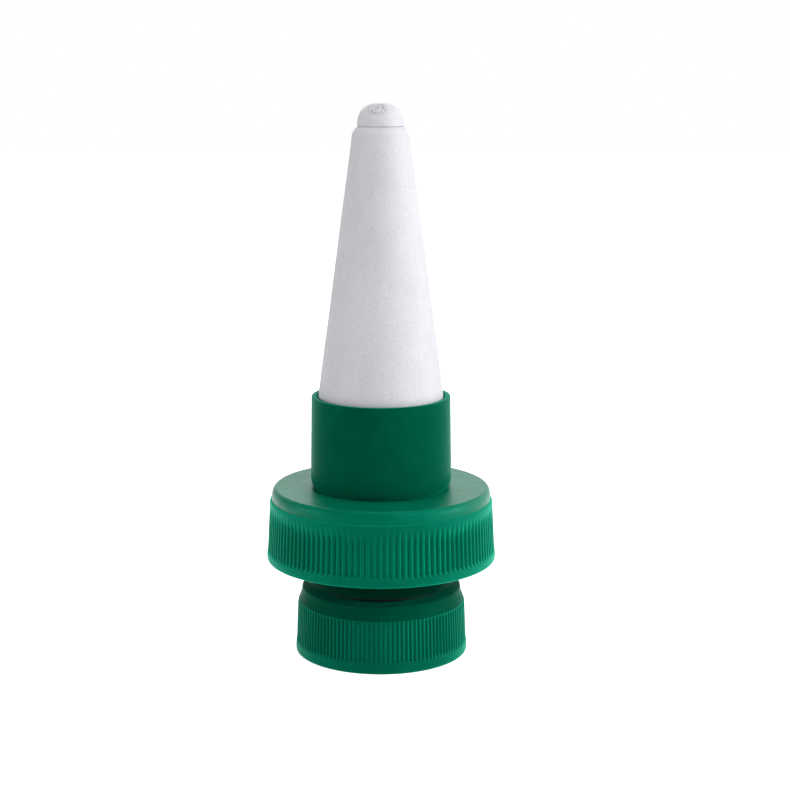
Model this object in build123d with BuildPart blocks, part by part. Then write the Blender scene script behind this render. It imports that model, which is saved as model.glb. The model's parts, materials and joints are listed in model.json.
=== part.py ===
from build123d import *
import os

# Self watering spike: a porous ceramic cone in a plastic cup, on a wide bottle cap,
# with an adapter below it that takes the narrow bottle cap.
# Millimetres. +Z points up to the cone's tip, and the origin is the middle of the
# narrow cap's open rim, which the object stands on.

# Fits between pieces
spigot_gap = 0.1
snap_gap = 0.05
thread_gap = 0.35
flank_gap = 0.15
seal_gap = 0.3
boot_gap = 0.05
cone_gap = 0.3

# Ribs round both caps
rib_count = 120
rib_depth = 0.3
ridge_share = 0.62

# Thread of the 28 mm drinks bottle that the narrow cap fits
bottle_thread_radius = 13.62
bottle_thread_height = 1.2
bottle_thread_lead = 3.2
bottle_root_width = 1.7
bottle_crest_width = 0.8
bottle_thread_top_gap = 0.26

# Narrow cap
narrow_height = 11.85
narrow_wall = 0.88
narrow_draft = 0.25
narrow_flare = 0.17
narrow_band_height = 1.8
narrow_shoulder_height = 1.85
narrow_shoulder_inset = 0.7
narrow_step_height = 1.1
narrow_step_inset = 0.1
narrow_edge_round = 0.3
narrow_top_thickness = 1.6
mouth_extra = 0.2
mouth_depth = 2.6
mouth_chamfer = 0.3

# Thread of the adapter, which is that of a 38 mm bottle neck
neck_thread_radius = 18.4
neck_thread_height = 1.2
neck_thread_lead = 4.2
neck_thread_foot_gap = 1.25
neck_thread_rim_gap = 1.04
neck_root_width = 2.1
neck_crest_width = 1.1
cap_thread_height = 1.2

# Every thread's ridge reaches into its wall and runs out at its ends
thread_embed = 0.3
thread_rise = 0.05
cap_thread_top_gap = 0.05
runout_angle = 14

# Wide cap
wide_height = 12.95
wide_wall = 0.87
wide_draft = 0.46
wide_flare = 0.17
wide_band_height = 1.55
wide_rib_fade = 2.3
wide_fade_gap = 0.55
wide_shoulder_height = 2.25
wide_ledge_inset = 0.2
wide_bevel_inset = 0.12
wide_edge_round = 0.95
wide_top_thickness = 1.6
wide_mouth_depth = 1.35
bead_inset = 0.45
bead_height = 0.45

# Adapter
plug_height = 14.45
plug_wall = 1.6
plug_floor = 1.8
plug_neck_radius = 13.2
plug_neck_height = 4.6
plug_lip_round = 0.4
plug_spigot_radius = 8.0

# Spigots and their snap beads
spigot_wall = 1.6
snap_bead = 0.45
snap_height = 0.75
snap_tip = 0.15

# Seals
washer_inset = 1.8
washer_thickness = 0.85
narrow_seal_thickness = 1.0
narrow_seal_room = 0.75
wide_seal_thickness = 1.0
wide_seal_inner_radius = 12.0
gasket_land = 1.2
gasket_foot_inset = 1.77
gasket_thickness = 0.9

# Socket cup
cup_height = 16.2
cup_bore_radius = 11.2
cup_lip_chamfer = 0.08
cup_wall_top = 0.95
cup_draft = 0.22
cup_floor = 2.2
cup_foot_round = 1.0
cup_foot_height = 2.2
cup_spigot_radius = 6.0

# Silicone boot round the cone's foot
boot_floor = 1.0
boot_wall = 0.7
boot_height = 9.6

# Ceramic cone
cone_height = 63.4
cone_wall = 3.3
cone_collar_height = 0.6
shoulder_radius = 4.98
shoulder_land = 0.14
shoulder_round_height = 2.1
nub_height = 3.7
nub_inset = 0.95
nub_draft = 0.4
nub_round = 2.3
seam_depth = 0.12
seam_height = 0.16

# Radii that follow from the sizes above
narrow_bore = bottle_thread_radius + thread_gap
narrow_mouth = narrow_bore + mouth_extra
narrow_rib_top = narrow_bore + narrow_wall
narrow_rib_foot = narrow_rib_top + narrow_draft
narrow_rim = narrow_rib_foot + narrow_flare
narrow_step = narrow_rib_top - narrow_shoulder_inset
narrow_edge = narrow_step - narrow_step_inset
wide_bore = neck_thread_radius + thread_gap
wide_mouth = wide_bore + mouth_extra
wide_rib_top = wide_bore + wide_wall
wide_rib_foot = wide_rib_top + wide_draft
wide_rim = wide_rib_foot + wide_flare
wide_ledge = wide_rib_top - wide_ledge_inset
wide_edge = wide_ledge - wide_bevel_inset
plug_radius = neck_thread_radius - neck_thread_height
plug_bore_radius = plug_spigot_radius - spigot_wall
washer_radius = plug_neck_radius - washer_inset
narrow_seal_inner_radius = plug_spigot_radius + snap_bead + narrow_seal_room
cup_rim_radius = cup_bore_radius + cup_wall_top
cup_foot_radius = cup_rim_radius + cup_draft
cup_outlet_radius = cup_spigot_radius - spigot_wall
gasket_inner_radius = cup_spigot_radius + gasket_land
gasket_outer_radius = cup_foot_radius - cup_foot_round - gasket_foot_inset
boot_radius = cup_bore_radius - boot_gap
cone_foot_radius = boot_radius - boot_wall - boot_gap
cone_seat_radius = cup_bore_radius - cone_gap
chamber_radius = cone_seat_radius - cone_wall
chamber_end = shoulder_radius - cone_wall
nub_radius = shoulder_radius - nub_inset
nub_top_radius = nub_radius - nub_draft - nub_round
shoulder_round = (nub_inset**2 + shoulder_round_height**2) / nub_inset / 2

# Heights that follow from the sizes above
narrow_ceiling = narrow_height - narrow_top_thickness
plug_foot = narrow_height + washer_thickness
plug_shelf = plug_foot + plug_neck_height
plug_rim = plug_foot + plug_height
wide_ceiling = plug_rim + wide_seal_thickness
wide_top = wide_ceiling + wide_top_thickness
wide_foot = wide_top - wide_height
cup_inside = wide_top + cup_floor
cup_rim = wide_top + cup_height
cone_foot = cup_inside + boot_floor
cone_start = cup_rim + cone_collar_height
tip = cone_foot + cone_height
nub_foot = tip - nub_height
shoulder_top = nub_foot - seam_height - shoulder_round_height
shoulder = shoulder_top - shoulder_land


def polar(radius, angle):
    """The point at a radius and an angle about the Z axis."""
    return Vector(radius, 0).rotate(Axis.Z, angle)


def turned(*points, mode=Mode.ADD):
    """Turn a closed outline of (radius, height) points about the Z axis."""
    with BuildSketch(Plane.XZ) as section:
        with BuildLine():
            Polyline(*points, close=True)
        make_face()
    revolve(section.sketch, axis=Axis.Z, mode=mode)


def ring(inner_radius, outer_radius, bottom, thickness):
    """A flat ring, such as a washer, that lies on the height bottom."""
    with BuildSketch(Plane.XY.offset(bottom)) as section:
        Circle(outer_radius)
        Circle(inner_radius, mode=Mode.SUBTRACT)
    extrude(section.sketch, amount=thickness)


def ribbed_wall(*stations):
    """A solid wall with ribs, through stations of (height, crest radius, groove depth)."""
    pitch = 360 / rib_count
    ridge = pitch * ridge_share / 2
    sections = []
    for height, crest, depth in stations:
        flank = crest - depth / 2
        with BuildLine() as rib:
            ThreePointArc(polar(flank, -ridge), polar(crest, 0), polar(flank, ridge))
            ThreePointArc(
                polar(flank, ridge),
                polar(crest - depth, pitch / 2),
                polar(flank, pitch - ridge),
            )
        with BuildSketch(Plane.XY.offset(height)) as section:
            with BuildLine():
                with PolarLocations(0, rib_count):
                    add(rib.line)
            make_face()
        sections.append(section.sketch)
    loft(sections, ruled=True)


def thread(root, crest, root_width, crest_width, lead, start_height, end_height, start_angle):
    """A helical ridge from its root radius to its crest radius, with ends that run out."""
    depth = crest - root
    outward = depth / abs(depth)
    embed = root - outward * thread_embed
    embed_width = root_width + (root_width - crest_width) * thread_embed / abs(depth)
    beyond = crest + outward * thread_embed
    rise = end_height - start_height
    with BuildPart() as ridge:
        with BuildLine() as path:
            Helix(pitch=lead, height=rise, radius=root, center=(0, 0, start_height))
        with BuildSketch(Plane.XZ) as section:
            with BuildLine():
                Polyline(
                    (embed, start_height - embed_width / 2),
                    (crest, start_height - crest_width / 2),
                    (crest, start_height + crest_width / 2),
                    (embed, start_height + embed_width / 2),
                    close=True,
                )
            make_face()
        sweep(section.sketch, path=path.line, is_frenet=True)
        for height, inward in ((start_height, runout_angle), (end_height, -runout_angle)):
            end = 360 * (height - start_height) / lead
            with BuildSketch(Plane.XY.offset(height)) as runout:
                with BuildLine():
                    Polyline(
                        polar(embed, end),
                        polar(beyond, end + inward),
                        polar(beyond + depth, end),
                        polar(beyond, end - inward),
                        polar(embed, end - inward),
                        close=True,
                    )
                make_face()
            extrude(runout.sketch, amount=root_width, both=True, mode=Mode.SUBTRACT)
    return ridge.part.rotate(Axis.Z, start_angle)


def snap_spigot(radius, bore, seat, plate):
    """A hollow spigot down from the height seat, with a bead that snaps below a plate."""
    bead_top = seat - plate - snap_gap
    bead_foot = bead_top - snap_height
    turned(
        (bore, seat),
        (radius, seat),
        (radius, bead_top),
        (radius + snap_bead, bead_top),
        (radius + snap_bead, bead_foot + snap_bead),
        (radius, bead_foot),
        (radius, bead_foot - snap_tip),
        (bore, bead_foot - snap_tip),
    )


# Narrow cap
narrow_rib_height = narrow_height - narrow_step_height - narrow_shoulder_height
narrow_fade = narrow_rib_height + narrow_shoulder_height * rib_depth / narrow_shoulder_inset
narrow_seal_foot = narrow_ceiling - narrow_seal_thickness
narrow_thread_start = mouth_depth + thread_rise + bottle_root_width / 2
narrow_thread_end = narrow_seal_foot - bottle_thread_top_gap - bottle_root_width / 2
narrow_thread = thread(
    narrow_bore,
    narrow_bore - bottle_thread_height,
    bottle_root_width,
    bottle_crest_width,
    bottle_thread_lead,
    narrow_thread_start,
    narrow_thread_end,
    0,
)
with BuildPart() as narrow_cap:
    turned(
        (0, 0),
        (narrow_rim - mouth_chamfer, 0),
        (narrow_rim, mouth_chamfer),
        (narrow_rib_foot + narrow_flare / 2, narrow_band_height),
        (0, narrow_band_height),
    )
    ribbed_wall(
        (narrow_band_height, narrow_rib_foot, rib_depth),
        (narrow_rib_height, narrow_rib_top, rib_depth),
        (narrow_fade, narrow_rib_top - rib_depth, 0),
    )
    turned(
        (0, narrow_fade),
        (narrow_rib_top - rib_depth, narrow_fade),
        (narrow_step, narrow_height - narrow_step_height),
        (narrow_edge, narrow_height - narrow_edge_round),
        (narrow_edge - narrow_edge_round, narrow_height),
        (0, narrow_height),
    )
    turned(
        (0, 0),
        (narrow_mouth + mouth_chamfer, 0),
        (narrow_mouth, mouth_chamfer),
        (narrow_mouth, mouth_depth - mouth_extra),
        (narrow_bore, mouth_depth),
        (narrow_bore, narrow_ceiling),
        (0, narrow_ceiling),
        mode=Mode.SUBTRACT,
    )
    with BuildSketch(Plane.XY.offset(narrow_ceiling)):
        Circle(plug_spigot_radius + spigot_gap)
    extrude(amount=narrow_top_thickness, mode=Mode.SUBTRACT)
    add(narrow_thread)
narrow_cap.part.label = "narrow_cap"

# Seal for the lip of a narrow bottle
with BuildPart() as narrow_seal:
    ring(
        narrow_seal_inner_radius,
        narrow_bore - seal_gap,
        narrow_seal_foot,
        narrow_seal_thickness,
    )
narrow_seal.part.label = "narrow_seal"

# Washer between the adapter and the narrow cap
with BuildPart() as adapter_washer:
    ring(plug_spigot_radius + spigot_gap, washer_radius, narrow_height, washer_thickness)
adapter_washer.part.label = "adapter_washer"

# Adapter, a stepped cup with the thread of a wide bottle neck
neck_inside = plug_neck_radius - plug_wall
cup_inside_radius = plug_radius - plug_wall
neck_thread_start = plug_shelf + neck_thread_foot_gap + neck_root_width / 2
neck_thread = thread(
    plug_radius,
    neck_thread_radius,
    neck_root_width,
    neck_crest_width,
    neck_thread_lead,
    neck_thread_start,
    plug_rim - neck_thread_rim_gap - neck_root_width / 2,
    0,
)
with BuildPart() as adapter_plug:
    turned(
        (plug_bore_radius, plug_foot),
        (plug_neck_radius - plug_lip_round, plug_foot),
        (plug_neck_radius, plug_foot + plug_lip_round),
        (plug_neck_radius, plug_shelf),
        (plug_radius - plug_lip_round, plug_shelf),
        (plug_radius, plug_shelf + plug_lip_round),
        (plug_radius, plug_rim - plug_lip_round),
        (plug_radius - plug_lip_round, plug_rim),
        (cup_inside_radius, plug_rim),
        (cup_inside_radius, plug_shelf + plug_floor),
        (neck_inside, plug_shelf + plug_floor),
        (neck_inside, plug_foot + plug_floor),
        (plug_bore_radius, plug_foot + plug_floor),
    )
    snap_spigot(
        plug_spigot_radius,
        plug_bore_radius,
        plug_foot,
        washer_thickness + narrow_top_thickness,
    )
    add(neck_thread)
adapter_plug.part.label = "adapter_plug"

# Seal that floats inside the wide cap, above its retaining bead
with BuildPart() as wide_seal:
    ring(wide_seal_inner_radius, wide_bore - seal_gap, plug_rim, wide_seal_thickness)
wide_seal.part.label = "wide_seal"

# Wide cap
neck_slope = (neck_root_width - neck_crest_width) / neck_thread_height
cap_crest = wide_bore - cap_thread_height
cap_crest_width = neck_root_width - neck_slope * (cap_crest - plug_radius) - neck_slope * thread_gap
cap_root_width = cap_crest_width + neck_slope * cap_thread_height
flank_offset = (
    neck_root_width / 2
    + cap_crest_width / 2
    - neck_slope * (cap_crest - plug_radius) / 2
    + flank_gap
)
cap_thread_start = wide_foot + wide_mouth_depth + thread_rise + cap_root_width / 2
cap_thread_rise = cap_thread_start - neck_thread_start + flank_offset
wide_ledge_height = wide_height - wide_shoulder_height
wide_fade = wide_ledge_height - wide_fade_gap
wide_rib_height = wide_fade - wide_rib_fade
wide_rib_slope = wide_draft / (wide_ledge_height - wide_band_height)
wide_rib_middle = wide_rib_foot - wide_rib_slope * (wide_rib_height - wide_band_height)
wide_fade_radius = wide_rib_foot - wide_rib_slope * (wide_fade - wide_band_height)
bead_foot = plug_rim - seal_gap - bead_height
bead_start = bead_foot - bead_inset
cap_thread = thread(
    wide_bore,
    cap_crest,
    cap_root_width,
    cap_crest_width,
    neck_thread_lead,
    cap_thread_start,
    bead_start - cap_thread_top_gap - cap_root_width / 2,
    360 * cap_thread_rise / neck_thread_lead,
)
with BuildPart() as wide_cap:
    turned(
        (0, wide_foot),
        (wide_rim - mouth_chamfer, wide_foot),
        (wide_rim, wide_foot + mouth_chamfer),
        (wide_rib_foot + wide_flare / 2, wide_foot + wide_band_height),
        (0, wide_foot + wide_band_height),
    )
    ribbed_wall(
        (wide_foot + wide_band_height, wide_rib_foot, rib_depth),
        (wide_foot + wide_rib_height, wide_rib_middle, rib_depth),
        (wide_foot + wide_fade, wide_fade_radius, 0),
    )
    with BuildSketch(Plane.XZ):
        with BuildLine():
            Polyline(
                (wide_edge - wide_edge_round, wide_top),
                (0, wide_top),
                (0, wide_foot + wide_fade),
                (wide_fade_radius, wide_foot + wide_fade),
                (wide_rib_top, wide_foot + wide_ledge_height),
                (wide_ledge, wide_foot + wide_ledge_height),
                (wide_edge, wide_top - wide_edge_round),
            )
            RadiusArc(
                (wide_edge, wide_top - wide_edge_round),
                (wide_edge - wide_edge_round, wide_top),
                -wide_edge_round,
            )
        make_face()
    revolve(axis=Axis.Z)
    turned(
        (0, wide_foot),
        (wide_mouth + mouth_chamfer, wide_foot),
        (wide_mouth, wide_foot + mouth_chamfer),
        (wide_mouth, wide_foot + wide_mouth_depth - mouth_extra),
        (wide_bore, wide_foot + wide_mouth_depth),
        (wide_bore, wide_ceiling),
        (0, wide_ceiling),
        mode=Mode.SUBTRACT,
    )
    turned(
        (wide_bore + mouth_extra, bead_start),
        (wide_bore, bead_start),
        (wide_bore - bead_inset, bead_foot),
        (wide_bore - bead_inset, bead_foot + bead_height),
        (wide_bore + mouth_extra, bead_foot + bead_height),
    )
    with BuildSketch(Plane.XY.offset(wide_ceiling)):
        Circle(cup_spigot_radius + spigot_gap)
    extrude(amount=wide_top_thickness, mode=Mode.SUBTRACT)
    add(cap_thread)
wide_cap.part.label = "wide_cap"

# Gasket in the cup's underside, round its spigot
with BuildPart() as cup_gasket:
    ring(gasket_inner_radius, gasket_outer_radius, wide_top, gasket_thickness)
cup_gasket.part.label = "cup_gasket"

# Socket cup that holds the ceramic cone
with BuildPart() as socket_cup:
    with BuildSketch(Plane.XZ):
        with BuildLine():
            Polyline(
                (cup_foot_radius, wide_top + cup_foot_height),
                (cup_rim_radius, cup_rim - cup_lip_chamfer),
                (cup_rim_radius - cup_lip_chamfer, cup_rim),
                (cup_bore_radius + cup_lip_chamfer, cup_rim),
                (cup_bore_radius, cup_rim - cup_lip_chamfer),
                (cup_bore_radius, cup_inside),
                (cup_outlet_radius, cup_inside),
                (cup_outlet_radius, wide_top),
                (cup_foot_radius - cup_foot_round, wide_top),
            )
            EllipticalCenterArc(
                (cup_foot_radius - cup_foot_round, wide_top + cup_foot_height),
                cup_foot_round,
                cup_foot_height,
                start_angle=-90,
                arc_size=90,
            )
        make_face()
    revolve(axis=Axis.Z)
    snap_spigot(cup_spigot_radius, cup_outlet_radius, wide_top, wide_top_thickness)
    with BuildSketch(Plane.XY.offset(wide_top)):
        Circle(gasket_outer_radius)
        Circle(gasket_inner_radius, mode=Mode.SUBTRACT)
    extrude(amount=gasket_thickness, mode=Mode.SUBTRACT)
socket_cup.part.label = "socket_cup"

# Silicone boot that seals the cone's foot in the cup
with BuildPart() as cone_boot:
    turned(
        (chamber_radius, cup_inside),
        (boot_radius, cup_inside),
        (boot_radius, cup_inside + boot_height),
        (boot_radius - boot_wall, cup_inside + boot_height),
        (boot_radius - boot_wall, cone_foot),
        (chamber_radius, cone_foot),
    )
cone_boot.part.label = "cone_boot"

# Ceramic cone, hollow, open at its foot
seat_step = cup_inside + boot_height + cone_gap
with BuildPart() as ceramic_cone:
    with BuildSketch(Plane.XZ):
        with BuildLine():
            Polyline(
                (0, tip),
                (0, shoulder - cone_wall),
                (chamber_end, shoulder - cone_wall - chamber_end),
                (chamber_radius, cone_start),
                (chamber_radius, cone_foot),
                (cone_foot_radius, cone_foot),
                (cone_foot_radius, seat_step),
                (cone_seat_radius, seat_step + cone_gap),
                (cone_seat_radius, cone_start),
                (shoulder_radius, shoulder),
                (shoulder_radius, shoulder_top),
            )
            RadiusArc(
                (shoulder_radius, shoulder_top),
                (nub_radius, nub_foot - seam_height),
                -shoulder_round,
            )
            Polyline(
                (nub_radius, nub_foot - seam_height),
                (nub_radius - seam_depth, nub_foot - seam_height / 2),
                (nub_radius, nub_foot),
                (nub_radius - nub_draft, tip - nub_round),
            )
            RadiusArc(
                (nub_radius - nub_draft, tip - nub_round),
                (nub_top_radius, tip),
                -nub_round,
            )
            Line((nub_top_radius, tip), (0, tip))
        make_face()
    revolve(axis=Axis.Z)
ceramic_cone.part.label = "ceramic_cone"

# One file for each piece
os.makedirs("parts", exist_ok=True)
pieces = (
    narrow_cap,
    narrow_seal,
    adapter_washer,
    adapter_plug,
    wide_seal,
    wide_cap,
    cup_gasket,
    socket_cup,
    cone_boot,
    ceramic_cone,
)
for piece in pieces:
    export_step(piece.part, f"parts/{piece.part.label}.step")
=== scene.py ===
# %% [markdown]
# # A self watering spike
# The object is a porous ceramic cone that stands in a plastic cup, on a wide ribbed bottle cap,
# with a narrow ribbed bottle cap below it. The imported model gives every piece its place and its
# size. Here each piece is modelled again with its finish, in metres, in the same frame.

# %% Load the fixed frame
import json
import math

import bmesh
import bpy
from mathutils import Matrix, Vector, noise


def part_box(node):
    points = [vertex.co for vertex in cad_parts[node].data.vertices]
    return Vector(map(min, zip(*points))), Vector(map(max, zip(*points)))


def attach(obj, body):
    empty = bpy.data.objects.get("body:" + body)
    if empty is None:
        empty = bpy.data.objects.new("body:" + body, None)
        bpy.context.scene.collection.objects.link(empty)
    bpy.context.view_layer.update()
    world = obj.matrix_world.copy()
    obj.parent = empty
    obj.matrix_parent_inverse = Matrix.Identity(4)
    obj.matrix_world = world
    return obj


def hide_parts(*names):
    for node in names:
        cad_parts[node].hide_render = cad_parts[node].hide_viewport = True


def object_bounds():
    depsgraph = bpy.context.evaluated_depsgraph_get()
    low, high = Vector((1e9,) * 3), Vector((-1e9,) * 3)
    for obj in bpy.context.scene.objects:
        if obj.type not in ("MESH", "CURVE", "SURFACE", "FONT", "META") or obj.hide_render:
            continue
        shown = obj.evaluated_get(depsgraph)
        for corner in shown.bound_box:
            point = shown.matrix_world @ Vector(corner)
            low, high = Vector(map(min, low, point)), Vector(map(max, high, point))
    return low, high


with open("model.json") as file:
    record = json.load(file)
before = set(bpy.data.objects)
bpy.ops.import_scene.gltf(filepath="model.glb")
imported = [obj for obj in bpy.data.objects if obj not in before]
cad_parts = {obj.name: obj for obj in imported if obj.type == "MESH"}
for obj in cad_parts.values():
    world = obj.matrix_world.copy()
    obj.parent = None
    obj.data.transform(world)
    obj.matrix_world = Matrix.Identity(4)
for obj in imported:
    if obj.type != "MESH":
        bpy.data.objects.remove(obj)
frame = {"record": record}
cad_low, cad_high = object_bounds()
mm = 0.001

# %% [markdown]
# ## The camera
# The photograph was taken a little above the caps with a long lens. Its place and its lens were
# worked out from the ellipses that the round rims make, so the camera is turned down a little and
# isn't shifted. The object stands left of the middle, which the camera's own place gives.

# %% Camera
camera_place = (2.45 * mm, -312.1 * mm, 106.4 * mm)
camera_pitch = math.radians(79.04)
camera_lens = 82.83

camera_data = bpy.data.cameras.new("camera")
camera_data.lens = camera_lens
camera_data.clip_start = 10 * mm
camera = bpy.data.objects.new("camera", camera_data)
camera.location = camera_place
camera.rotation_euler = (camera_pitch, 0, 0)
bpy.context.scene.collection.objects.link(camera)
bpy.context.scene.camera = camera
bpy.context.scene.view_settings.view_transform = "Standard"
print("Camera", camera_data.lens, "mm lens at", camera_place)

# %% [markdown]
# ## Helpers for shader nodes
# A material is a small graph of nodes. Short helpers keep the graphs readable. The first three add
# a node and set its inputs, start a new material with its shader, and start a group that several
# materials share.


# %% Node helpers
def add_node(tree, kind, inputs=(), **settings):
    """A node of a kind, with its settings, and with its inputs given values or links."""
    node = tree.nodes.new(kind)
    for name, value in settings.items():
        setattr(node, name, value)
    for name, value in dict(inputs).items():
        if isinstance(value, bpy.types.NodeSocket):
            tree.links.new(value, node.inputs[name])
        else:
            node.inputs[name].default_value = value
    return node


def start_material(name, **shader_values):
    """A node material, and its Principled shader with plain values set on its own sockets."""
    material = bpy.data.materials.new(name)
    material.use_nodes = True
    shader = material.node_tree.nodes["Principled BSDF"]
    for socket, value in shader_values.items():
        shader.inputs[socket.replace("_", " ")].default_value = value
    return material, material.node_tree, shader


def start_group(name, inputs, outputs):
    """A node group with named sockets, which materials place with their own values."""
    group = bpy.data.node_groups.new(name, "ShaderNodeTree")
    for label, kind, default in inputs:
        socket = group.interface.new_socket(label, in_out="INPUT", socket_type="NodeSocket" + kind)
        socket.default_value = default
    for label, kind in outputs:
        group.interface.new_socket(label, in_out="OUTPUT", socket_type="NodeSocket" + kind)
    return group, group.nodes.new("NodeGroupInput"), group.nodes.new("NodeGroupOutput")


# %% [markdown]
# The other four each add one kind of node and return its output: two colours mixed, a grey, one
# span of values carried to another, and a sum on two values.


# %% Helpers for colours and values
def blend_colour(tree, mode, factor, first, second):
    """A Mix node on two colours, given as values or links. Returns its colour output."""
    mix = tree.nodes.new("ShaderNodeMix")
    mix.data_type = "RGBA"
    mix.blend_type = mode
    for index, value in ((0, factor), (6, first), (7, second)):
        if isinstance(value, bpy.types.NodeSocket):
            tree.links.new(value, mix.inputs[index])
        else:
            mix.inputs[index].default_value = value
    return mix.outputs[2]


def grey(tree, shade):
    """A grey as bright as a value, as a colour."""
    channels = {"Red": shade, "Green": shade, "Blue": shade}
    return add_node(tree, "ShaderNodeCombineColor", channels).outputs["Color"]


def remap(tree, value, low, high, to_low, to_high):
    """A Map Range node that carries one span of values to another, held at its ends."""
    inputs = {
        "Value": value,
        "From Min": low,
        "From Max": high,
        "To Min": to_low,
        "To Max": to_high,
    }
    return add_node(tree, "ShaderNodeMapRange", inputs).outputs["Result"]


def calculate(tree, operation, first, second):
    """A Math node that adds, takes away, multiplies or compares two values."""
    node = add_node(tree, "ShaderNodeMath", {0: first, 1: second}, operation=operation)
    return node.outputs[0]


# %% [markdown]
# ## The studio
# The photograph has a white ground and large soft lights at both sides. The world lights the
# object faintly and evenly. Rays from the camera see it as plain white. Reflected rays see a white
# wall at the back and a bright sheet at the right, but nothing behind the camera, as in a real
# studio, which keeps the front of the plastic deep in colour.

# %% World
ambient_strength = 0.19
back_wall = 0.95
right_sheet = 1.8
plain_white = (1, 1, 1, 1)

world = bpy.data.worlds.new("studio")
world.use_nodes = True
tree = world.node_tree
tree.nodes.clear()
path = add_node(tree, "ShaderNodeLightPath")
direction = add_node(tree, "ShaderNodeTexCoord").outputs["Generated"]
split = add_node(tree, "ShaderNodeSeparateXYZ", {"Vector": direction})
back = remap(tree, split.outputs["Y"], 0.0, 1.0, 0.0, back_wall)
right = remap(tree, split.outputs["X"], 0.3, 1.0, 0.0, right_sheet)
room = calculate(tree, "ADD", back, right)
skies = [
    add_node(tree, "ShaderNodeBackground", {"Color": plain_white, "Strength": strength})
    for strength in (ambient_strength, room, 1.0)
]
soft, mirrored, seen = (sky.outputs[0] for sky in skies)
reflected = calculate(
    tree, "MAXIMUM", path.outputs["Is Glossy Ray"], path.outputs["Is Transmission Ray"]
)
base = add_node(tree, "ShaderNodeMixShader", {0: reflected, 1: soft, 2: mirrored})
final = add_node(
    tree,
    "ShaderNodeMixShader",
    {0: path.outputs["Is Camera Ray"], 1: base.outputs[0], 2: seen},
)
add_node(tree, "ShaderNodeOutputWorld", {"Surface": final.outputs[0]})
bpy.context.scene.world = world
print("World of strength", ambient_strength)

# %% [markdown]
# The lamps are area lamps, because a large lamp gives the soft edge that the shade on the cone
# has. Each is placed by its bearing and its height in degrees as seen from the object. Two stand
# at the right, one low at the left and one overhead, and one behind gives the flat tops their
# pale sheen.


# %% Lamps
lamp_distance = 0.6
lamp_width = 0.3
middle = (cad_low + cad_high) / 2


def area_lamp(name, bearing, height, power):
    """A square area lamp, placed round the object by two angles and turned to its middle."""
    across, up = math.radians(bearing), math.radians(height)
    level = math.cos(up)
    away = Vector((level * math.cos(across), level * math.sin(across), math.sin(up)))
    data = bpy.data.lights.new(name, "AREA")
    data.shape = "SQUARE"
    data.size = lamp_width
    data.energy = power
    lamp = bpy.data.objects.new(name, data)
    lamp.location = middle + lamp_distance * away
    lamp.rotation_euler = away.to_track_quat("Z", "Y").to_euler()
    bpy.context.scene.collection.objects.link(lamp)


area_lamp("front_right_lamp", bearing=-50, height=35, power=1.28)
area_lamp("right_lamp", bearing=-10, height=8, power=1.91)
area_lamp("left_lamp", bearing=190, height=8, power=1.15)
area_lamp("back_lamp", bearing=90, height=40, power=1.5)
area_lamp("top_lamp", bearing=0, height=89, power=0.83)
print("Five lamps aim at", tuple(round(c, 4) for c in middle))

# %% [markdown]
# ## The floor
# The floor is a plain pale sheet. What the camera and the reflections see of it gets extra light
# of its own, so that it runs into the white ground, and the soft shadow under the object stays.

# %% Floor
floor_width = 3.0
floor_paint = (0.8, 0.8, 0.8, 1)
floor_lift = 0.9

floor_mesh = bpy.data.meshes.new("floor")
bm = bmesh.new()
bmesh.ops.create_grid(bm, x_segments=1, y_segments=1, size=floor_width / 2)
bm.to_mesh(floor_mesh)
bm.free()
floor = bpy.data.objects.new("floor", floor_mesh)
bpy.context.scene.collection.objects.link(floor)

floor_material = bpy.data.materials.new("floor_white")
floor_material.use_nodes = True
tree = floor_material.node_tree
tree.nodes.clear()
path = add_node(tree, "ShaderNodeLightPath")
paint = add_node(tree, "ShaderNodeBsdfDiffuse", {"Color": floor_paint})
shown = path.outputs["Is Camera Ray"]
for kind in ("Is Glossy Ray", "Is Transmission Ray"):
    shown = calculate(tree, "MAXIMUM", shown, path.outputs[kind])
lift = calculate(tree, "MULTIPLY", shown, floor_lift)
glow = add_node(tree, "ShaderNodeEmission", {"Strength": lift})
both = add_node(tree, "ShaderNodeAddShader", {0: paint.outputs[0], 1: glow.outputs[0]})
add_node(tree, "ShaderNodeOutputMaterial", {"Surface": both.outputs[0]})
floor_mesh.materials.append(floor_material)
print("Floor of", floor_width, "m, lifted by", floor_lift)

# %% [markdown]
# ## The plastic
# Both caps, the cup and the adapter are moulded in dark green plastic with a satin skin. Such a
# skin is never quite even: the colour drifts where the melt flowed, the surface has a very fine
# peel, and handling leaves faint rubbed patches. The three effects are one node group, so that the
# rubber pieces can use it too, with other values.

# %% A moulded skin, shared by the plastic and the rubber
peel_height = 0.1 * mm

skin_group, skin_in, skin_out = start_group(
    "moulded_skin",
    (
        ("Color", "Color", (0.1, 0.1, 0.1, 1)),
        ("Drift", "Float", 0.1),
        ("Gloss Low", "Float", 0.3),
        ("Gloss High", "Float", 0.4),
        ("Peel", "Float", 0.1),
    ),
    (("Color", "Color"), ("Roughness", "Float"), ("Normal", "Vector")),
)
tree = skin_group
spot = add_node(tree, "ShaderNodeTexCoord").outputs["Object"]
flow = add_node(
    tree,
    "ShaderNodeTexNoise",
    {"Vector": spot, "Scale": 110.0, "Detail": 3.0, "Distortion": 1.6},
)
shade = remap(tree, flow.outputs["Fac"], 0.3, 0.7, 0.72, 1.28)
drifted = blend_colour(
    tree, "MULTIPLY", skin_in.outputs["Drift"], skin_in.outputs["Color"], grey(tree, shade)
)
rub = add_node(
    tree,
    "ShaderNodeTexNoise",
    {"Vector": spot, "Scale": 420.0, "Detail": 5.0, "Roughness": 0.65},
)
gloss_low, gloss_high = skin_in.outputs["Gloss Low"], skin_in.outputs["Gloss High"]
gloss = remap(tree, rub.outputs["Fac"], 0.35, 0.68, gloss_low, gloss_high)
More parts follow.
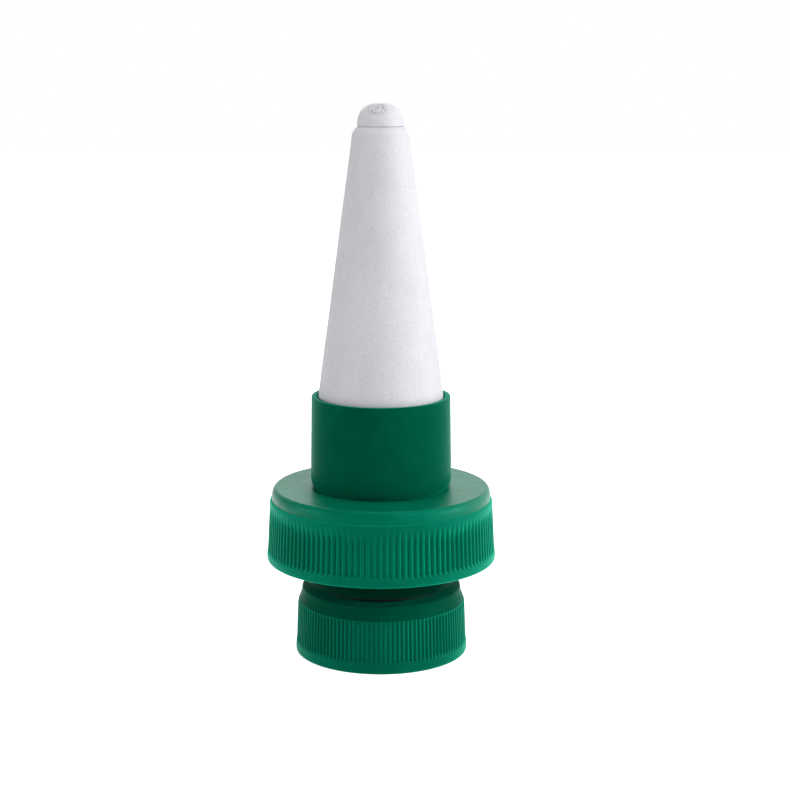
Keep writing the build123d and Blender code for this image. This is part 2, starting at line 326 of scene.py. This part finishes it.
peel = add_node(tree, "ShaderNodeTexNoise", {"Vector": spot, "Scale": 2600.0, "Detail": 2.0})
bump = add_node(
    tree,
    "ShaderNodeBump",
    {"Height": peel.outputs["Fac"], "Strength": skin_in.outputs["Peel"], "Distance": peel_height},
)
tree.links.new(drifted, skin_out.inputs["Color"])
tree.links.new(gloss, skin_out.inputs["Roughness"])
tree.links.new(bump.outputs["Normal"], skin_out.inputs["Normal"])
print("Group moulded_skin has", len(tree.nodes), "nodes")

# %% [markdown]
# A moulded material places the skin beside a Principled shader. What is the same all over, such as
# how much it reflects, is set on the shader's own sockets.


# %% Moulded materials
def moulded(name, colour, drift, gloss, peel, **shader_values):
    """A moulded material: a shader whose colour, roughness and normal come from the skin."""
    material, tree, shader = start_material(name, **shader_values)
    skin = add_node(tree, "ShaderNodeGroup", node_tree=skin_group)
    values = {
        "Color": (*colour, 1),
        "Drift": drift,
        "Gloss Low": gloss[0],
        "Gloss High": gloss[1],
        "Peel": peel,
    }
    for label, value in values.items():
        skin.inputs[label].default_value = value
    tree.links.new(skin.outputs["Color"], shader.inputs["Base Color"])
    tree.links.new(skin.outputs["Roughness"], shader.inputs["Roughness"])
    tree.links.new(skin.outputs["Normal"], shader.inputs["Normal"])
    return material


# %% [markdown]
# The greens are copies of one plastic, with painted light and shade in their colours. The ribbed
# walls of the caps have a fine matt grain, which glows in the plastic's own colour where the light
# grazes it. The Principled shader's sheen does that, with its full weight. The narrow cap's walls
# are darker than the wide cap's, as painted shade for the wide cap's shadow. The cup, the adapter
# and the smooth collar of the narrow cap are darker, reflect very little and glow only faintly;
# their darkness is painted shade, and in the adapter partly its own darker colour. The flat top of
# the
# wide cap has no such grain: it is lighter, as painted light, reflects more and doesn't glow.

# %% The greens
green_tint = (0.02, 0.7, 0.5, 1)
glow_tint = (0.0, 1.0, 0.63, 1)


def green(name, colour, reflection, glow=0.0, glow_spread=0.5):
    """A copy of the green plastic: colour with painted light and shade, reflection and glow."""
    return moulded(
        name,
        colour,
        drift=0.35,
        gloss=(0.3, 0.4),
        peel=0.16,
        Specular_IOR_Level=reflection,
        Specular_Tint=green_tint,
        Sheen_Weight=glow,
        Sheen_Roughness=glow_spread,
        Sheen_Tint=glow_tint,
    )


# Painted light and shade: the top's lighter green, and the darker greens of the collar, the narrow
# cap, the cup and the adapter.
top_painted_light_green = green("top_painted_light_green", (0.0, 0.18, 0.1), 0.24)
collar_painted_shade_green = green("collar_painted_shade_green", (0.0, 0.08, 0.042), 0.01, glow=0.25, glow_spread=0.4)
wall_green = green("wall_green", (0.001, 0.11, 0.058), 0.04, glow=1.0, glow_spread=0.6)
narrow_painted_shade_green = green("narrow_painted_shade_green", (0.001, 0.082, 0.043), 0.04, glow=1.0, glow_spread=0.6)
cup_painted_shade_green = green("cup_painted_shade_green", (0.0, 0.09, 0.048), 0.01, glow=0.5, glow_spread=0.4)
adapter_painted_shade_green = green("adapter_painted_shade_green", (0.0, 0.033, 0.017), 0.01, glow=0.12, glow_spread=0.4)
print("Greens:", [name for name in bpy.data.materials.keys() if name.endswith("_green")])

# %% [markdown]
# The washer, the seals and the gasket are black rubber, rougher and duller than the plastic. The
# boot is pale silicone. Both take the same skin with other values.

# %% The rubbers
black_rubber = moulded(
    "black_rubber", (0.012, 0.012, 0.013), drift=0.5, gloss=(0.55, 0.72), peel=0.35, IOR=1.5
)
silicone = moulded(
    "silicone", (0.55, 0.57, 0.56), drift=0.25, gloss=(0.35, 0.5), peel=0.2, IOR=1.41
)
print("Rubbers:", black_rubber.name, silicone.name)

# %% [markdown]
# ## The ceramic
# The cone is unglazed porous ceramic. It is matt, almost white with a cool tinge, mottled by its
# grains of a third of a millimetre, and speckled with fine open pores. The faintest streaks run
# along it, left when it was drawn from its mould.

# %% Ceramic
clay_colour = (0.77, 0.76, 0.803, 1)
pore_colour = (0.55, 0.55, 0.57, 1)
pit_depth = 0.12 * mm

ceramic, tree, shader = start_material("porous_ceramic", IOR=1.45, Specular_IOR_Level=0.25)
spot = add_node(tree, "ShaderNodeTexCoord").outputs["Object"]
stretched = add_node(tree, "ShaderNodeMapping", {"Vector": spot, "Scale": (1, 1, 0.06)})
streak = add_node(
    tree,
    "ShaderNodeTexNoise",
    {"Vector": stretched.outputs[0], "Scale": 900.0, "Detail": 3.0},
)
cloud = add_node(tree, "ShaderNodeTexNoise", {"Vector": spot, "Scale": 160.0, "Detail": 4.0})
grain = add_node(
    tree,
    "ShaderNodeTexNoise",
    {"Vector": spot, "Scale": 2400.0, "Detail": 4.0, "Roughness": 0.7},
)
pore = add_node(tree, "ShaderNodeTexNoise", {"Vector": spot, "Scale": 2600.0, "Detail": 1.0})
pore_mask = remap(tree, pore.outputs["Fac"], 0.66, 0.74, 0.0, 0.5)
streak_shade = remap(tree, streak.outputs["Fac"], 0.35, 0.65, 0.99, 1.006)
cloud_shade = remap(tree, cloud.outputs["Fac"], 0.35, 0.65, 0.97, 1.02)
grain_shade = remap(tree, grain.outputs["Fac"], 0.3, 0.7, 0.93, 1.05)
shade = calculate(tree, "MULTIPLY", streak_shade, cloud_shade)
shade = calculate(tree, "MULTIPLY", shade, grain_shade)
body_colour = blend_colour(tree, "MULTIPLY", 1.0, clay_colour, grey(tree, shade))
speckled = blend_colour(tree, "MIX", pore_mask, body_colour, pore_colour)
tree.links.new(speckled, shader.inputs["Base Color"])
matt = remap(tree, grain.outputs["Fac"], 0.3, 0.7, 0.78, 0.95)
tree.links.new(matt, shader.inputs["Roughness"])
pit = calculate(tree, "SUBTRACT", grain.outputs["Fac"], pore_mask)
bump = add_node(tree, "ShaderNodeBump", {"Height": pit, "Strength": 0.5, "Distance": pit_depth})
tree.links.new(bump.outputs["Normal"], shader.inputs["Normal"])
print("Ceramic has", len(tree.nodes), "nodes")

# %% [markdown]
# ## Turned shapes
# Every piece of the object is round, so each one starts as an outline: a few points that give a
# radius, a height and how far the corner there is rounded, in millimetres. The bevel operator
# rounds the corners, the larger ones in more steps, and long edges are divided, so that the wall
# has rows of vertices to shape.


# %% Outline helpers
bevel_step = 0.11


def round_corners(bm, corners, rounding, segments):
    """Bevel corners of an outline, by a rounding in millimetres."""
    bmesh.ops.bevel(
        bm,
        geom=corners,
        offset=rounding * mm,
        offset_type="OFFSET",
        segments=segments,
        profile=0.5,
        affect="VERTICES",
        material=-1,
    )


def outline(bm, *points, closed=True):
    """Draw an outline from (radius, height, rounding) points, and round its corners."""
    corners = [bm.verts.new((radius * mm, 0, height * mm)) for radius, height, _ in points]
    following = corners[1:] + corners[:1] if closed else corners[1:]
    for start, end in zip(corners, following):
        bm.edges.new((start, end))
    for corner, (_, _, rounding) in zip(corners, points):
        if rounding:
            round_corners(bm, [corner], rounding, 1 + round(rounding / bevel_step))


def divide_outline(bm, spacing, above=0.0, beyond=0.0):
    """Divide the outline's edges above a height and beyond a radius into short runs."""
    for edge in list(bm.edges):
        lowest = min(vertex.co.z for vertex in edge.verts)
        nearest = min(vertex.co.x for vertex in edge.verts)
        cuts = int(edge.calc_length() / (spacing * mm))
        if cuts and lowest >= above * mm and nearest >= beyond * mm:
            bmesh.ops.subdivide_edges(bm, edges=[edge], cuts=cuts)


# %% [markdown]
# The spin operator then turns the outline once about the Z axis. Merging its doubles closes the
# seam and the poles. Vertices are moved afterwards by how far they are from the axis, and a smooth
# step lets such a move fade out.


# %% Turning helpers
merge_distance = 0.001 * mm


def spin(bm, angle, steps, rise=0.0, **options):
    """Spin all that the mesh holds about the Z axis, with a rise in each step."""
    bmesh.ops.spin(
        bm,
        geom=bm.verts[:] + bm.edges[:] + bm.faces[:],
        cent=(0, 0, 0),
        axis=(0, 0, 1),
        dvec=(0, 0, rise),
        angle=angle,
        steps=steps,
        **options,
    )


def close_seams(bm):
    """Merge what a spin has doubled, and turn every face outwards."""
    bmesh.ops.remove_doubles(bm, verts=bm.verts[:], dist=merge_distance)
    bmesh.ops.recalc_face_normals(bm, faces=bm.faces[:])


def turn_round(bm, steps):
    """Spin an outline once about the Z axis, and close the seam and the poles."""
    spin(bm, math.tau, steps, use_merge=True)
    close_seams(bm)


def radius_of(place):
    """How far a place is from the Z axis."""
    return math.hypot(place.x, place.y)


def set_radius(vertex, radius):
    """Move a vertex towards the Z axis or away from it, to a radius."""
    share = radius / radius_of(vertex.co)
    vertex.co.x *= share
    vertex.co.y *= share


def smooth_step(value):
    """Rise smoothly from 0 to 1 while the value goes from 0 to 1."""
    held = min(max(value, 0.0), 1.0)
    return held * held * (3 - 2 * held)


# %% [markdown]
# A finished piece becomes an object that takes its node's place: it rides on the node's body and
# hides the node. The Weighted Normal modifier keeps large flat faces flat beside their rounded
# edges.

# %% Finishing helpers
sharp_angle = math.radians(42)
body_of = {
    node: body
    for body, nodes in frame["record"]["behaviour"]["bodies"].items()
    for node in nodes
}


def extent(node):
    """A node's lowest height, highest height and outer radius, in millimetres."""
    low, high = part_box(node)
    return low.z / mm, high.z / mm, high.x / mm


def finish_piece(bm, name, node, *materials):
    """Make the piece's object, shade it smooth, and put it in the place of its node."""
    mesh = bpy.data.meshes.new(name)
    bm.to_mesh(mesh)
    bm.free()
    for material in materials:
        mesh.materials.append(material)
    mesh.shade_smooth()
    mesh.set_sharp_from_angle(angle=sharp_angle)
    piece = bpy.data.objects.new(name, mesh)
    bpy.context.scene.collection.objects.link(piece)
    even = piece.modifiers.new("even_normals", "WEIGHTED_NORMAL")
    even.keep_sharp = True
    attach(piece, body_of[node])
    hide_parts(node)
    print(name, "has", len(mesh.polygons), "faces")


# %% [markdown]
# ## The cone
# The cone narrows in a straight line to a rounded shoulder, which is an arc of a large circle, and
# ends in a small nub above a fine groove. Inside is the chamber for the water. The outline runs
# from the chamber's top, round the foot, to the tip, so it isn't closed.

# %% Cone
foot, tip, seat_radius = extent("ceramic_cone")
foot_radius = seat_radius - 0.5
seat_start = foot + 8.9
slope_start = foot + 13.6
shoulder_radius = 4.98
nub_radius = 4.03
nub_foot = tip - 3.7
seam = nub_foot - 0.16
shoulder = seam - 2.1
shoulder_steps = 6
cone_wall = 3.3
chamber_radius = seat_radius - cone_wall
chamber_end = shoulder_radius - cone_wall
chamber_top = shoulder - 3.44

arc_inset = shoulder_radius - nub_radius
arc_height = seam - shoulder
arc_radius = (arc_inset**2 + arc_height**2) / arc_inset / 2
shoulder_curve = []
for step in range(shoulder_steps):
    rise = step / shoulder_steps * arc_height
    inset = arc_radius - math.sqrt(arc_radius**2 - rise**2)
    shoulder_curve.append((shoulder_radius - inset, shoulder + rise, 0))

bm = bmesh.new()
outline(
    bm,
    (0, chamber_top, 0),
    (chamber_end, chamber_top - chamber_end, 0.5),
    (chamber_radius, slope_start, 1.0),
    (chamber_radius, foot, 0.3),
    (foot_radius, foot, 0.4),
    (foot_radius, seat_start, 0),
    (seat_radius, seat_start + 0.3, 0.15),
    (seat_radius, slope_start, 1.0),
    *shoulder_curve,
    (nub_radius, seam - 0.06, 0.05),
    (nub_radius - 0.3, seam + 0.04, 0),
    (nub_radius, nub_foot, 0.08),
    (nub_radius - 0.48, tip, 2.6),
    (0, tip, 0),
    closed=False,
)
divide_outline(bm, 1.1)
divide_outline(bm, 0.14, above=nub_foot)
turn_round(bm, 200)
print("Cone turned, with", len(bm.verts), "vertices")

# %% [markdown]
# The cone was cast in a mould, so it isn't perfectly even: its wall waves by a few hundredths of a
# millimetre. Its nub carries the rough scar where the clay was broken off: two crumbly rings, one
# in the other, on the front of its dome and a little to the left. Both are made by moving vertices,
# because they are shape and not only shade. The scar is only ever pressed inwards, so that the cone
# keeps its height.

# %% Waves and scar
wave_depth = 0.035 * mm
scar_place = Vector((-0.7, -2.6, tip - 0.72)) * mm
scar_size = 1.35 * mm
scar_depth = 0.32 * mm
scar_reach = 1.6
scar_rings = ((0.9, 0.13), (0.42, 0.12))

bm.normal_update()
for vertex in bm.verts:
    place = vertex.co.copy()
    out = Vector((place.x, place.y, 0)).normalized()
    vertex.co += out * wave_depth * noise.fractal(place * 130, 0.7, 2.0, 3)
    away = (place - scar_place).length / scar_size
    if away < scar_reach:
        away += 0.22 * noise.noise(place * 900)
        ridges = sum(math.exp(-(((away - ring) / width) ** 2)) for ring, width in scar_rings)
        crumbs = 0.3 * noise.fractal(place * 2400, 0.6, 2.0, 3)
        inside = smooth_step((1.25 - away) / 0.3)
        press = min(max(1 - ridges + crumbs, 0.0), 1.3)
        vertex.co -= vertex.normal * scar_depth * inside * press
finish_piece(bm, "cone_ceramic", "ceramic_cone", ceramic)

# %% [markdown]
# ## The cup
# The cone stands in a smooth thin-walled cup. Its lip is barely rounded, and its lower edge turns
# in over a quarter of an ellipse, which throws a soft dark line on the cap. Below, a hollow spigot
# goes through the cap's top, and a recess round it takes the gasket. The spigot snaps in with a
# bead, and the adapter's spigot has the same one, so a helper gives its points.


# %% Cup
snap_bead = 0.45


def bead_points(spigot, start):
    """The outer points of a spigot's tip with its snap bead, from its radius and height."""
    return (
        (spigot, start, 0),
        (spigot, start + 0.15, 0),
        (spigot + snap_bead, start + 0.6, 0.08),
        (spigot + snap_bead, start + 0.9, 0.08),
        (spigot, start + 0.9, 0),
    )


spigot_tip, cup_rim, cup_radius = extent("socket_cup")
_, wide_top, _ = extent("wide_cap")
lip_radius = cup_radius - 0.22
cup_bore = lip_radius - 0.95
cup_inside = wide_top + 2.2
cup_outlet = 4.4
cup_spigot = 6.0
gasket_bore = 7.2
recess_radius = 9.6
recess_top = wide_top + 0.9
foot_turn_in = 0.7
foot_turn_up = 2.2
foot_steps = 7

foot_curve = []
for step in range(foot_steps + 1):
    angle = step / foot_steps * math.pi / 2
    curve_radius = cup_radius - foot_turn_in * (1 - math.sin(angle))
    curve_height = wide_top + foot_turn_up * (1 - math.cos(angle))
    foot_curve.append((curve_radius, curve_height, 0))

bm = bmesh.new()
outline(
    bm,
    *foot_curve,
    (lip_radius, cup_rim, 0.16),
    (cup_bore, cup_rim, 0.2),
    (cup_bore, cup_inside, 0.3),
    (cup_outlet, cup_inside, 0.2),
    (cup_outlet, spigot_tip, 0.15),
    *bead_points(cup_spigot, spigot_tip),
    (cup_spigot, wide_top, 0),
    (gasket_bore, wide_top, 0),
    (gasket_bore, recess_top, 0),
    (recess_radius, recess_top, 0),
    (recess_radius, wide_top, 0),
)
divide_outline(bm, 1.5)
turn_round(bm, 160)
# The cup's darker green is painted shade.
finish_piece(bm, "socket_cup_shell", "socket_cup", cup_painted_shade_green)

# %% [markdown]
# ## Ribs
# The ribs of both caps are all alike, so one rib is made and copied round. The outline is spun
# through a single rib, in eight columns of vertices that keep the ridge round, and the groove is
# pressed into its outer wall: a vertex moves inwards by how near it is to the middle of the groove,
# and the press fades out at the groove's ends. Spinning with duplicates carries the rib round,
# first to five and then to the whole ring, because every step of a spin costs time on a large mesh.


# %% Rib helpers
rib_count = 120
columns_per_rib = 8
ribs_per_sector = 5
ridge_share = 0.2


def turn_ribbed(bm, wall_radius, low, high, low_fade, high_fade, depth):
    """Turn an outline round, with ribs on its outer wall that fade out at two heights."""
    pitch = math.tau / rib_count
    spin(bm, pitch, columns_per_rib)
    for vertex in bm.verts:
        radius = radius_of(vertex.co)
        height = vertex.co.z / mm
        if radius < wall_radius * mm or not low < height < high:
            continue
        turn = math.atan2(vertex.co.y, vertex.co.x) / math.tau * rib_count
        across = 2 * abs(turn - round(turn))
        groove = smooth_step((across - ridge_share) / (1 - ridge_share))
        ends = smooth_step((height - low) / low_fade) * smooth_step((high - height) / high_fade)
        set_radius(vertex, radius - depth * mm * groove * ends)
    copies = ribs_per_sector - 1
    spin(bm, pitch * copies, copies, use_duplicate=True)
    copies = rib_count // ribs_per_sector - 1
    spin(bm, pitch * ribs_per_sector * copies, copies, use_duplicate=True)
    close_seams(bm)


def colour_above(bm, height):
    """Give the faces above a height, in millimetres, the piece's second material."""
    for face in bm.faces:
        face.material_index = int(face.calc_center_median().z > height * mm)


# %% [markdown]
# ## Threads
# A thread is its section, a small trapezium, spun with a rise for each step. Its ends are shrunk
# towards the wall, so that they run out as moulded threads do. The adapter's thread turns in the
# wide cap's, so both have the same depth and the same lead, which is its rise in one turn.


# %% Thread helper
thread_depth = 1.2
thread_sink = 0.25
thread_rounding = 0.15
steps_per_turn = 120
run_out = 14 / 360
wide_lead = 4.2


def add_thread(bm, root, crest, root_width, crest_width, lead, turns, start, start_angle=0):
    """Add a helical ridge to a wall, from its root radius to its crest radius."""
    ridge = bmesh.new()
    sunk = root - thread_sink if crest > root else root + thread_sink
    section = (
        (sunk, start - root_width / 2),
        (crest, start - crest_width / 2),
        (crest, start + crest_width / 2),
        (sunk, start + root_width / 2),
    )
    corners = [ridge.verts.new((radius * mm, 0, height * mm)) for radius, height in section]
    ridge.faces.new(corners)
    round_corners(ridge, corners[1:3], thread_rounding, 3)
    steps = round(turns * steps_per_turn)
    spin(ridge, math.tau * turns, steps, rise=lead * turns * mm / steps)
    for vertex in ridge.verts:
        around = math.atan2(vertex.co.y, vertex.co.x) / math.tau
        risen = (vertex.co.z / mm - start) / lead
        along = around + round(risen - around)
        share = smooth_step(min(along, turns - along) / run_out)
        set_radius(vertex, sunk * mm + (radius_of(vertex.co) - sunk * mm) * share)
    bmesh.ops.rotate(
        ridge,
        verts=ridge.verts[:],
        cent=(0, 0, 0),
        matrix=Matrix.Rotation(math.radians(start_angle), 3, "Z"),
    )
    bmesh.ops.recalc_face_normals(ridge, faces=ridge.faces[:])
    carried = bpy.data.meshes.new("thread")
    ridge.to_mesh(carried)
    ridge.free()
    bm.from_mesh(carried)
    bpy.data.meshes.remove(carried)


# %% [markdown]
# ## The wide cap
# From its foot up, the cap has a plain flared band, the ribs, a smooth shoulder, a tiny ledge that
# catches the light, and a rounded edge to its flat top. Inside it has the thread for the bottle, a
# bead that holds the loose seal, and the hole that the cup's spigot snaps through. Both caps have
# the same slightly wider mouth.

# %% Wide cap
wide_foot, wide_top, wide_rim = extent("wide_cap")
wide_rib_foot = wide_rim - 0.17
wide_rib_top = wide_rib_foot - 0.46
wide_bore = wide_rib_top - 0.87
wide_ledge = wide_foot + 10.7
wide_band = wide_foot + 1.55
wide_ceiling = wide_top - 1.6
wide_hole = 6.1
seal_bead = 0.45
mouth_flare = 0.45
mouth_extra = 0.2

bm = bmesh.new()
outline(
    bm,
    (wide_bore + mouth_flare, wide_foot, 0.15),
    (wide_rim - 0.1, wide_foot, 0.3),
    (wide_rim, wide_foot + 0.6, 0.3),
    (wide_rim - 0.08, wide_band, 0.05),
    (wide_rib_foot, wide_band + 0.06, 0.05),
    (wide_rib_top, wide_ledge - 0.18, 0.08),
    (wide_rib_top - 0.24, wide_ledge + 0.02, 0.05),
    (wide_rib_top - 0.36, wide_ledge + 0.03, 0),
    (wide_rib_top - 0.33, wide_ledge + 0.35, 0),
    (wide_rib_top - 0.34, wide_top - 1.0, 0.4),
    (wide_rib_top - 0.62, wide_top - 0.36, 0.2),
    (wide_rib_top - 1.0, wide_top, 0.08),
    (wide_hole, wide_top, 0.1),
    (wide_hole, wide_ceiling, 0.1),
    (wide_bore, wide_ceiling, 0.15),
    (wide_bore, wide_ceiling - 1.3, 0),
    (wide_bore - seal_bead, wide_ceiling - 1.3, 0.1),
    (wide_bore - seal_bead, wide_ceiling - 1.75, 0.1),
    (wide_bore, wide_ceiling - 2.2, 0),
    (wide_bore, wide_foot + 1.35, 0),
    (wide_bore + mouth_extra, wide_foot + 1.15, 0),
    (wide_bore + mouth_extra, wide_foot + 0.3, 0),
)
divide_outline(bm, 0.4, beyond=wide_rib_top - 0.1)
turn_ribbed(
    bm,
    wall_radius=wide_bore + 0.5,
    low=wide_band,
    high=wide_foot + 10.15,
    low_fade=0.35,
    high_fade=3.2,
    depth=0.42,
)
add_thread(
    bm,
    root=wide_bore,
    crest=wide_bore - thread_depth,
    root_width=2.5,
    crest_width=1.5,
    lead=wide_lead,
    turns=1.234,
    start=wide_foot + 2.658,
    start_angle=143.2,
)
# The flat top and the wall above the ledge take the lighter green, which is painted light.
colour_above(bm, wide_ledge + 0.04)
finish_piece(bm, "wide_cap_shell", "wide_cap", wall_green, top_painted_light_green)

# %% [markdown]
# ## The narrow cap
# The narrow cap is the same kind of moulding. Its ribs end at a sloped shoulder, with a small
# upright step and a flat top that the adapter's washer lies on. The smooth collar starts where the
# ribs have faded out.

# %% Narrow cap
narrow_foot, narrow_top, narrow_rim = extent("narrow_cap")
narrow_rib_foot = narrow_rim - 0.17
narrow_rib_top = narrow_rib_foot - 0.25
narrow_bore = narrow_rib_top - 0.88
narrow_band = narrow_foot + 1.8
narrow_shoulder = narrow_foot + 8.9
narrow_rib_end = narrow_shoulder + 0.5
narrow_step = narrow_foot + 10.75
narrow_ceiling = narrow_top - 1.6
narrow_hole = 8.1

bm = bmesh.new()
outline(
    bm,
    (narrow_bore + mouth_flare, narrow_foot, 0.15),
    (narrow_rim - 0.1, narrow_foot, 0.2),
    (narrow_rim, narrow_foot + 0.45, 0.25),
    (narrow_rim - 0.08, narrow_band, 0.05),
    (narrow_rib_foot, narrow_band + 0.06, 0.05),
    (narrow_rib_top, narrow_shoulder, 0.4),
    (narrow_rib_top - 0.7, narrow_step, 0.15),
    (narrow_rib_top - 0.8, narrow_top, 0.3),
    (narrow_hole, narrow_top, 0.1),
    (narrow_hole, narrow_ceiling, 0.1),
    (narrow_bore, narrow_ceiling, 0.15),
    (narrow_bore, narrow_foot + 2.6, 0),
    (narrow_bore + mouth_extra, narrow_foot + 2.4, 0),
    (narrow_bore + mouth_extra, narrow_foot + 0.3, 0),
)
divide_outline(bm, 0.4, beyond=narrow_rib_top - 0.6)
turn_ribbed(
    bm,
    wall_radius=narrow_bore + 0.4,
    low=narrow_band,
    high=narrow_rib_end,
    low_fade=0.35,
    high_fade=0.6,
    depth=0.32,
)
add_thread(
    bm,
    root=narrow_bore,
    crest=narrow_bore - thread_depth,
    root_width=1.7,
    crest_width=0.8,
    lead=3.2,
    turns=1.45,
    start=narrow_foot + 3.5,
)
# The ribbed walls and the collar above them take darker greens, which are painted shade.
colour_above(bm, narrow_rib_end)
finish_piece(bm, "narrow_cap_shell", "narrow_cap", narrow_painted_shade_green, collar_painted_shade_green)

# %% [markdown]
# ## The adapter
# Between the caps stands the adapter. Only its neck shows until the wide cap is unscrewed: then its
# thread and its rim come into view, so they are modelled too.

# %% Adapter
plug_tip, plug_rim, thread_radius = extent("adapter_plug")
_, plug_foot, _ = extent("adapter_washer")
plug_radius = thread_radius - thread_depth
plug_shelf = plug_foot + 4.6
neck_radius = 13.2
plug_bore = 6.4
plug_spigot = 8.0
plug_wall = 1.6
plug_floor = 1.8

bm = bmesh.new()
outline(
    bm,
    (plug_bore, plug_tip, 0.15),
    *bead_points(plug_spigot, plug_tip),
    (plug_spigot, plug_foot, 0),
    (neck_radius, plug_foot, 0.45),
    (neck_radius, plug_shelf, 0),
    (plug_radius, plug_shelf, 0.45),
    (plug_radius, plug_rim, 0.4),
    (plug_radius - plug_wall, plug_rim, 0.15),
    (plug_radius - plug_wall, plug_shelf + plug_floor, 0.3),
    (neck_radius - plug_wall, plug_shelf + plug_floor, 0.3),
    (neck_radius - plug_wall, plug_foot + plug_floor, 0.3),
    (plug_bore, plug_foot + plug_floor, 0.2),
)
divide_outline(bm, 1.2)
turn_round(bm, 160)
add_thread(
    bm,
    root=plug_radius,
    crest=thread_radius,
    root_width=2.1,
    crest_width=1.1,
    lead=wide_lead,
    turns=1.3,
    start=plug_foot + 6.9,
)
# The adapter's very dark green is partly its own colour and partly painted shade.
finish_piece(bm, "adapter_body", "adapter_plug", adapter_painted_shade_green)

# %% [markdown]
# ## Washer, seals and gasket
# These rubber pieces are flat rings with soft edges, so one function makes them all from the size
# of their node and the radius of their bore.


# %% Rubber rings
def soft_ring(name, node, bore, rounding):
    """A flat ring with rounded edges, in the place of its node."""
    low, high, outer_radius = extent(node)
    bm = bmesh.new()
    outline(
        bm,
        (bore, low, rounding),
        (outer_radius, low, rounding),
        (outer_radius, high, rounding),
        (bore, high, rounding),
    )
    divide_outline(bm, 1.0)
    turn_round(bm, 160)
    finish_piece(bm, name, node, black_rubber)


soft_ring("washer_ring", "adapter_washer", bore=narrow_hole, rounding=0.2)
soft_ring("narrow_seal_ring", "narrow_seal", bore=9.2, rounding=0.15)
soft_ring("wide_seal_ring", "wide_seal", bore=12.0, rounding=0.15)
soft_ring("gasket_ring", "cup_gasket", bore=gasket_bore, rounding=0.2)

# %% [markdown]
# ## The boot
# The boot seals the cone's foot in the cup, and grips it. It is a thin silicone cup with a hole in
# its floor.

# %% Boot
boot_foot, boot_rim, boot_radius = extent("cone_boot")
boot_bore = boot_radius - 0.7
boot_hole = 7.6
boot_floor = boot_foot + 1.0

bm = bmesh.new()
outline(
    bm,
    (boot_hole, boot_foot, 0.15),
    (boot_radius, boot_foot, 0.2),
    (boot_radius, boot_rim, 0.2),
    (boot_bore, boot_rim, 0.2),
    (boot_bore, boot_floor, 0.2),
    (boot_hole, boot_floor, 0.15),
)
divide_outline(bm, 1.2)
turn_round(bm, 160)
finish_piece(bm, "boot_sleeve", "cone_boot", silicone)
